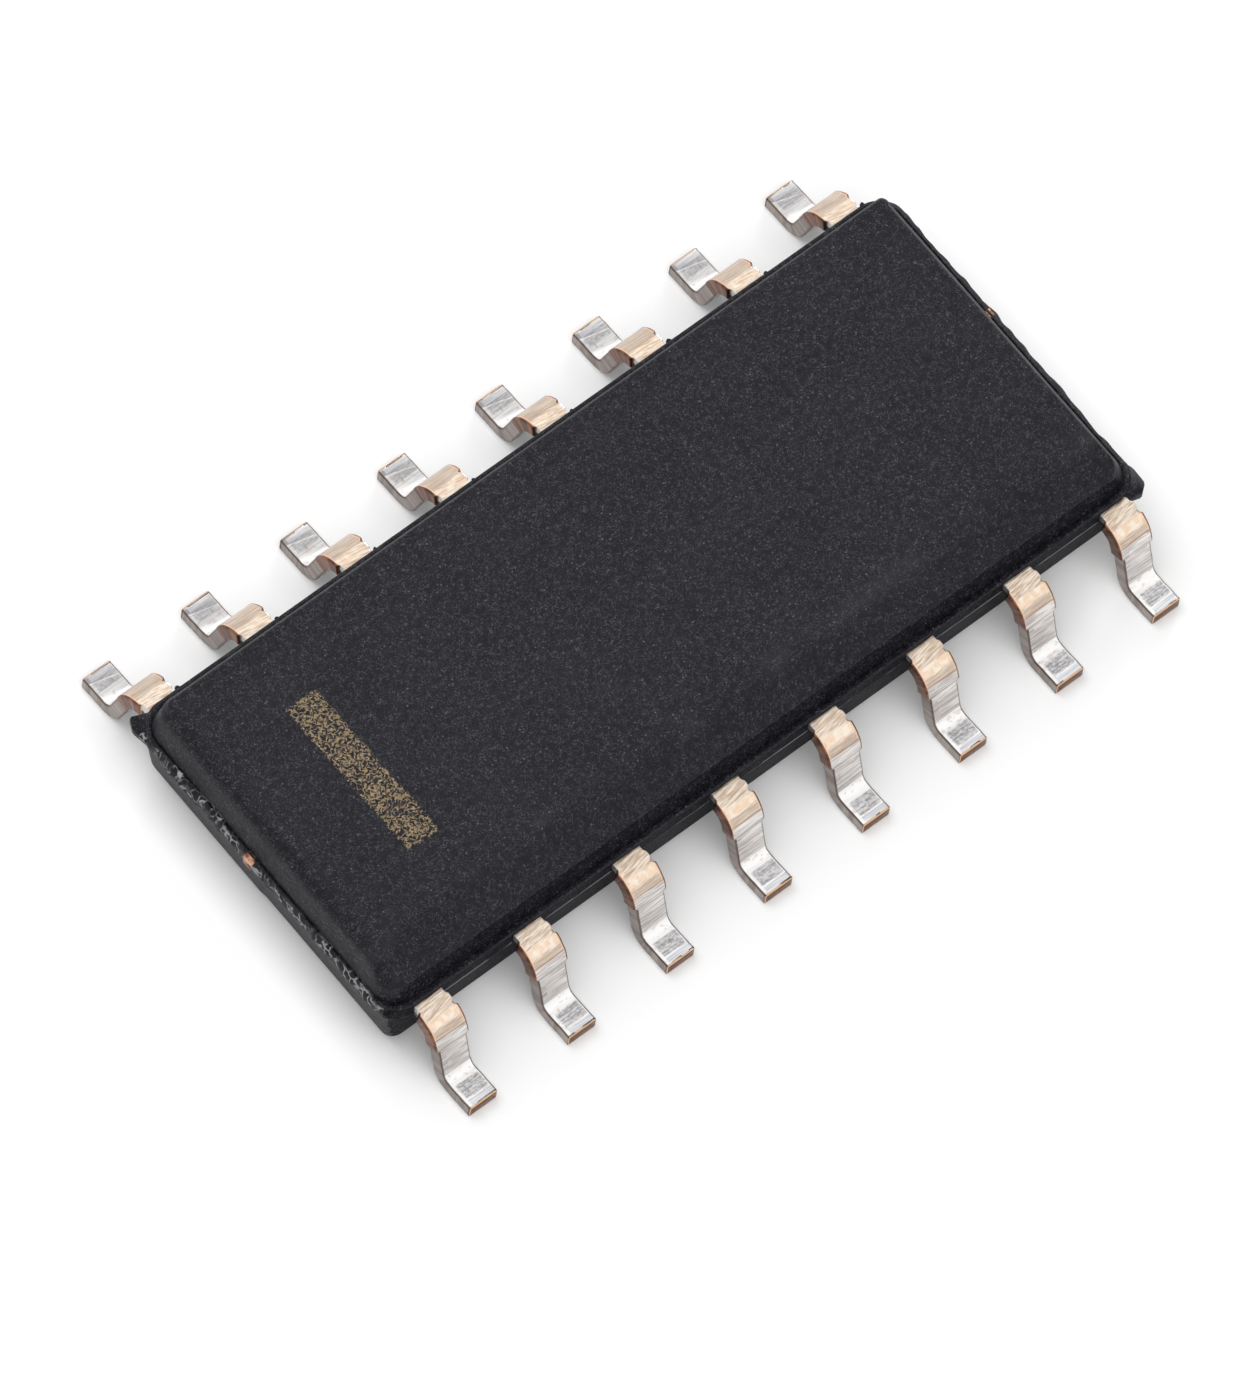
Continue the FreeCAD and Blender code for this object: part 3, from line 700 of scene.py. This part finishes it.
def close_bottom(shape, rim):
    """Flat underside with its two shallow round ejector marks."""
    edges = [shape.edges.get((vert, rim[index - 1])) for index, vert in enumerate(rim)]
    angles = [step * 2 * math.pi / EJECTOR_STEPS for step in range(EJECTOR_STEPS)]
    for place in (-EJECTOR_PLACE, EJECTOR_PLACE):
        low, high = ([shape.verts.new((MM * (place + radius * math.cos(angle)),
                                       MM * radius * math.sin(angle), MM * z)) for angle in angles]
                     for radius, z in ((EJECTOR_RADIUS, BODY_BOTTOM),
                                       (EJECTOR_RADIUS - EJECTOR_TAPER,
                                        BODY_BOTTOM + EJECTOR_DEPTH)))
        for index in range(EJECTOR_STEPS):
            shape.faces.new((low[index - 1], low[index], high[index], high[index - 1]))
            edges.append(shape.edges.get((low[index], low[index - 1])))
        shape.faces.new(high)
    bmesh.ops.triangle_fill(shape, edges=edges, use_beauty=True)


def close_top(shape, rim):
    """Top face, ridge and bevel as strips from the left end to the right end."""
    half = SIDE_STEPS + END_STEPS + 2 * CORNER_STEPS
    right = rim[SIDE_STEPS:half + 1]
    left = [rim[index % len(rim)] for index in range(2 * half, half + SIDE_STEPS - 1, -1)]
    for index in range(2, len(right) - 1):
        shape.faces.new((left[index - 1], right[index - 1], right[index], left[index]))
    middle = SIDE_STEPS // 2
    for side, first, last in ((rim[:SIDE_STEPS + 1], left[1], right[1]),
                              (rim[half:half + SIDE_STEPS + 1], right[-2], left[-2])):
        shape.faces.new((first, side[middle], last))
        for index in range(SIDE_STEPS):
            shape.faces.new((side[index], side[index + 1], first if index < middle else last))


def make_body(material, front_shaded_material):
    """The moulded body, ring by ring, with painted shade on its front faces."""
    outer = rounded_outline(HALF_LENGTH, HALF_WIDTH, CORNER_RADIUS)
    inner = rounded_outline(UPPER_END, UPPER_SIDE, CORNER_RADIUS)
    rings = lower_rings(outer) + flange_rings(outer) + ledge_rings(outer, inner)
    rings += upper_rings(inner)
    shape = bmesh.new()
    # Layer for the painted edge highlights.
    wear_layer = shape.verts.layers.float.new("edge_highlight_and_wear")
    rows = []
    for ring in rings:
        rows.append([shape.verts.new(((x + SKEW * y) * MM, y * MM, z * MM)) for x, y, z, _ in ring])
        for vert, (_, _, _, wear) in zip(rows[-1], ring):
            vert[wear_layer] = wear
    for low, high in zip(rows, rows[1:]):
        for index, vert in enumerate(low):
            shape.faces.new((low[index - 1], vert, high[index], high[index - 1]))
    close_bottom(shape, rows[0])
    close_top(shape, rows[-1])
    bmesh.ops.recalc_face_normals(shape, faces=shape.faces)
    piece = smooth_piece("moulded_package", shape, material)
    piece.data.set_sharp_from_angle(angle=SHARP_ANGLE)
    # The front faces take a copy of the compound that reflects less, as painted shade.
    piece.data.materials.append(front_shaded_material)
    for face in piece.data.polygons:
        face.material_index = int(face.center.y < FRONT_WALL * MM)
    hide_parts("mould_body")
    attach(piece, "root")


def lead_line():
    """Middle of the strip: (y, z, slope, distance from the body) every STEP, in millimetres."""
    middle = THICK / 2
    bend_z, heel_z = LEAD_TOP - THICK - BEND_RADIUS, THICK + HEEL_RADIUS
    bend, heel = BEND_RADIUS + middle, HEEL_RADIUS + middle
    riser = (bend_z - heel_z + (bend + heel) * math.cos(TURN)) / math.sin(TURN)
    y, z, slope, gone = HALF_WIDTH - ROOT, LEAD_TOP - middle, 0.0, -ROOT
    runs = [(BEND_AT - y, 0.0), (bend * TURN, 1 / bend), (riser, 0.0),
            (heel * TURN, -1 / heel), (FOOT_FLAT, 0.0)]
    points = [(y, z, slope, gone)]
    for length, curve in runs:
        count = max(2, round(length / STEP))
        part = length / count
        for _ in range(count):
            turn = part * curve
            chord = part if not turn else 2 * math.sin(abs(turn) / 2) / abs(curve)
            y += chord * math.cos(slope + turn / 2)
            z -= chord * math.sin(slope + turn / 2)
            slope += turn
            gone += part
            points.append((y, z, slope, gone))
    return points


def strip_section():
    """Section of the strip as (across, up, flank): flank is 0 on the flats, 1 on the cut sides."""
    half_width, half_thick, radius = LEAD_WIDTH / 2, THICK / 2, EDGE_RADIUS
    corner_steps, spacing = 3, 0.02
    corners = []
    for corner, (sx, sy) in enumerate(((1, 1), (-1, 1), (-1, -1), (1, -1))):
        for step in range(corner_steps + 1):
            angle = math.pi / 2 * (corner + step / corner_steps)
            corners.append(Vector((sx * (half_width - radius) + radius * math.cos(angle),
                                   sy * (half_thick - radius) + radius * math.sin(angle))))
    points = []
    for index, start in enumerate(corners):
        end = corners[(index + 1) % len(corners)]
        count = max(1, round((end - start).length / spacing))
        points += [start.lerp(end, step / count) for step in range(count)]
    flank_from, flank_to = half_width - radius * 0.9, half_width - radius * 0.5
    return [(x, y, ramp_number(abs(x), flank_from, flank_to)) for x, y in points]


def stub_share(gone, beside_nub):
    """One where the dambar's stub stands beside the bend, zero elsewhere."""
    start = STUB_FROM_BY_NUB if beside_nub else STUB_FROM
    return ramp_number(gone, start, start + STUB_RISE) * (1.0 - ramp_number(gone, *STUB_TO))


def nub_width(gone):
    """Small nub on one side of the lead, between the body and the dambar's stub."""
    return NUB_WIDTH * ramp_number(gone, *NUB_FROM) * (1 - ramp_number(gone, *NUB_TO))


def lead_rings(number, turn):
    """Rings of (across, up, flank, cut) with their place on the line, rounded at the toe."""
    line, section = lead_line(), strip_section()
    rings = []
    for y, z, slope, gone in line:
        ring = []
        for across, up, flank in section:
            side = math.copysign(1.0, across)
            wide = stub_share(gone, side == turn)
            waver = WAVER * noise.noise(Vector((gone * 9.0, side * 4.0, number)))
            half_width = LEAD_WIDTH / 2 + (CUT_WIDTH - LEAD_WIDTH) / 2 * wide + waver - PARED
            half_width += nub_width(gone) if side == turn else 0.0
            reach = across * half_width / (LEAD_WIDTH / 2)
            dent = DENT * noise.noise(Vector((reach * 8.0, gone * 14.0, number * 3.0)))
            inward = math.copysign((DENT - dent) * (1.0 - flank), up)
            ring.append((reach, up - inward, flank, wide * flank))
        rings.append((y, z, slope, gone, ring))
    y, z, slope, gone, ring = rings.pop()
    for back, inset, cut in TOE_RINGS:
        rounded = [(across - math.copysign(inset, across),
                    up - math.copysign(inset * (2.0 if up < 0 else 1.0), up),
                    flank, max(cut, worn)) for across, up, flank, worn in ring]
        rings.append((y - back, z, slope, gone - back, rounded))
    return rings


def make_lead(number, material):
    """One plated lead, swept along its bent strip, with the sheared dambar stubs and toe."""
    step = (number - 1) % LEADS_PER_SIDE
    middle = ((LEADS_PER_SIDE - 1) / 2 - step) * PITCH
    turn = -1 if number <= LEADS_PER_SIDE else 1
    shape = bmesh.new()
    strip_layer = shape.verts.layers.float_vector.new("strip")
    wear_layer = shape.verts.layers.float_vector.new("wear")
    rows = []
    for y, z, slope, gone, ring in lead_rings(number, turn):
        row = []
        for across, up, flank, cut in ring:
            vert = shape.verts.new((turn * MM * (middle + across),
                                    turn * MM * (y + up * math.sin(slope)),
                                    MM * (z + up * math.cos(slope))))
            vert[strip_layer] = (turn * across, gone, -turn * number * 1.7)
            vert[wear_layer] = (cut, flank, up / (THICK / 2))
            row.append(vert)
        rows.append(row)
    for before, after in zip(rows, rows[1:]):
        for index, vert in enumerate(before):
            shape.faces.new((vert, before[index - 1], after[index - 1], after[index]))
    for row in (rows[0], rows[-1]):
        centre = shape.verts.new(sum((vert.co for vert in row), Vector()) / len(row))
        centre[strip_layer] = (0.0, row[0][strip_layer].y, row[0][strip_layer].z)
        centre[wear_layer] = (row[0][wear_layer].x, 0.0, 0.0)
        for index, vert in enumerate(row):
            shape.faces.new((vert, row[index - 1], centre))
    bmesh.ops.recalc_face_normals(shape, faces=shape.faces)
    piece = smooth_piece(f"lead_skin_{number:02d}", shape, material)
    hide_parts(f"lead_{number:02d}")
    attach(piece, "root")


def worn_block(name, material, outline, low, high, worn_from=None):
    """Small block with rounded edges over an outline in millimetres, pale beyond worn_from in x."""
    shape = bmesh.new()
    face = shape.faces.new([shape.verts.new((x * MM, y * MM, low * MM)) for x, y in outline])
    grown = bmesh.ops.extrude_face_region(shape, geom=[face])["geom"]
    top = [item for item in grown if isinstance(item, bmesh.types.BMVert)]
    bmesh.ops.translate(shape, verts=top, vec=(0, 0, (high - low) * MM))
    bmesh.ops.recalc_face_normals(shape, faces=shape.faces)
    bmesh.ops.bevel(shape, geom=shape.edges[:], offset=BLOCK_EDGE * MM, segments=2,
                    affect="EDGES")
    wear_layer = shape.verts.layers.float.new("edge_highlight_and_wear")
    if worn_from is not None:
        for vert in shape.verts:
            vert[wear_layer] = ramp_number(vert.co.x / MM, worn_from, worn_from + 0.03)
    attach(smooth_piece(name, shape, material), "root")


def make_corner_stubs(material):
    """Broken gate and vent stubs at two opposite corners."""
    outline = [(4.70, -1.60), (4.55, -1.75), (4.60, -2.06), (4.78, -2.115), (4.862, -2.05),
               (4.875, -1.85), (4.83, -1.70)]
    worn_block("right_corner_stub", material, outline, low=0.79, high=0.945, worn_from=4.82)
    outline = [(-4.70, 1.60), (-4.55, 1.75), (-4.60, 2.03), (-4.80, 2.11), (-4.862, 1.985),
               (-4.83, 1.75)]
    worn_block("left_corner_stub", material, outline, low=0.82, high=0.935)


def make_resin_bumps(material):
    """Small bumps of compound where the back leads leave the body."""
    shape = bmesh.new()
    beside, y, z = RESIN_BUMP
    for step in range(LEADS_PER_SIDE):
        middle = (step - (LEADS_PER_SIDE - 1) / 2) * PITCH
        radius = 0.026 + 0.012 * noise.noise(Vector((step * 3.3, 1.7, 0.0)))
        place = Matrix.Translation(Vector((middle + beside, y, z)) * MM)
        bmesh.ops.create_icosphere(shape, subdivisions=2, radius=radius * MM, matrix=place)
    for vert in shape.verts:
        vert.co += Vector((1, 1, 0.6)) * (0.008 * MM * noise.noise(vert.co / MM * 22.0))
    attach(smooth_piece("resin_bumps", shape, material), "root")


def make_tie_ends(material):
    """Sheared ends of the die pad's tie bars in the middle of both ends."""
    for name, side, reach, place, half in (("left_tie_end", -1, 4.895, 0.18, 0.07),
                                           ("right_tie_end", 1, 4.905, 0.34, 0.055)):
        outline = [(side * 4.80, place - half), (side * reach, place - half),
                   (side * reach, place + half), (side * 4.80, place + half)]
        worn_block(name, material, outline, low=0.80, high=0.975)


# Stage

def make_camera():
    """Camera that sees the part as the photograph does."""
    back = Vector((math.sin(CAMERA_AZIMUTH) * math.cos(CAMERA_ELEVATION),
                   -math.cos(CAMERA_AZIMUTH) * math.cos(CAMERA_ELEVATION),
                   math.sin(CAMERA_ELEVATION)))
    level = Vector((0, 0, 1)).cross(back).normalized()
    upright = back.cross(level)
    right = level * math.cos(CAMERA_ROLL) + upright * math.sin(CAMERA_ROLL)
    up = upright * math.cos(CAMERA_ROLL) - level * math.sin(CAMERA_ROLL)
    camera = bpy.data.objects.new("camera", bpy.data.cameras.new("camera"))
    bpy.context.scene.collection.objects.link(camera)
    camera.matrix_world = Matrix((right, up, back)).transposed().to_4x4()
    camera.location = (back * CAMERA_DISTANCE - right * CAMERA_SHIFT[0] - up * CAMERA_SHIFT[1]) * MM
    camera.data.sensor_width = SENSOR
    camera.data.lens = SENSOR * FOCAL_PIXELS / PHOTO_HEIGHT
    camera.data.clip_start, camera.data.clip_end = 0.01, 10.0
    bpy.context.scene.camera = camera


def floor_material():
    """White floor that keeps the part's soft shadow and meets a white background."""
    material, tree, shader = new_material("white_floor", 1.0, specular=0.0)
    shader.inputs["Base Color"].default_value = (FLOOR_GREY, FLOOR_GREY, FLOOR_GREY, 1.0)
    tree.links.new(product(tree, seen_ray(tree), FLOOR_GLOW), shader.inputs["Emission Strength"])
    shader.inputs["Emission Color"].default_value = (1.0, 1.0, 1.0, 1.0)
    return material


def make_floor():
    mesh = bpy.data.meshes.new("floor")
    square = ((-1, -1), (1, -1), (1, 1), (-1, 1))
    mesh.from_pydata([(x * FLOOR_REACH, y * FLOOR_REACH, 0) for x, y in square], [],
                     [(0, 1, 2, 3)])
    new_piece("floor", mesh, floor_material())


def make_world():
    """White room: full white where it is seen, and a faint light from all round."""
    world = bpy.data.worlds.new("white_room")
    bpy.context.scene.world = world
    world.use_nodes = True
    tree = world.node_tree
    background = tree.nodes["Background"]
    tree.links.new(ramp(tree, seen_ray(tree), 0.0, 1.0, ROOM_LIGHT, 1.0),
                   background.inputs["Strength"])
    background.inputs["Color"].default_value = (1.0, 1.0, 1.0, 1.0)


def make_light(name, place_mm, size_mm, power, aimed=True, mirrored=True):
    """Rectangular lamp, aimed at the part or straight down, and mirrored in the metal or not."""
    lamp = bpy.data.lights.new(name, "AREA")
    lamp.shape = "RECTANGLE"
    lamp.size, lamp.size_y = (side * MM for side in size_mm)
    lamp.energy = power
    light = bpy.data.objects.new(name, lamp)
    bpy.context.scene.collection.objects.link(light)
    light.location = Vector(place_mm) * MM
    light.visible_glossy = mirrored
    if aimed:
        light.rotation_euler = (-light.location).to_track_quat("-Z", "Y").to_euler()


def main():
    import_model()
    make_camera()
    make_floor()
    make_world()
    make_light("overhead", (-22, 16, 130), (110, 300), power=0.31, aimed=False, mirrored=False)
    make_light("rim", (110, 80, 45), (50, 50), power=0.05)
    make_light("left_fill", (-120, -20, 45), (60, 60), power=0.008, mirrored=False)
    compound = mould_material("moulding_compound", specular=0.17)
    # The front's copy of the compound reflects less: painted shade.
    make_body(compound, mould_material("moulding_compound_front_shaded", specular=0.02))
    plated = lead_material()
    for number in range(1, 2 * LEADS_PER_SIDE + 1):
        make_lead(number, plated)
    make_corner_stubs(compound)
    make_resin_bumps(compound)
    make_tie_ends(copper_material())
    bpy.context.scene.view_settings.view_transform = "Standard"


main()
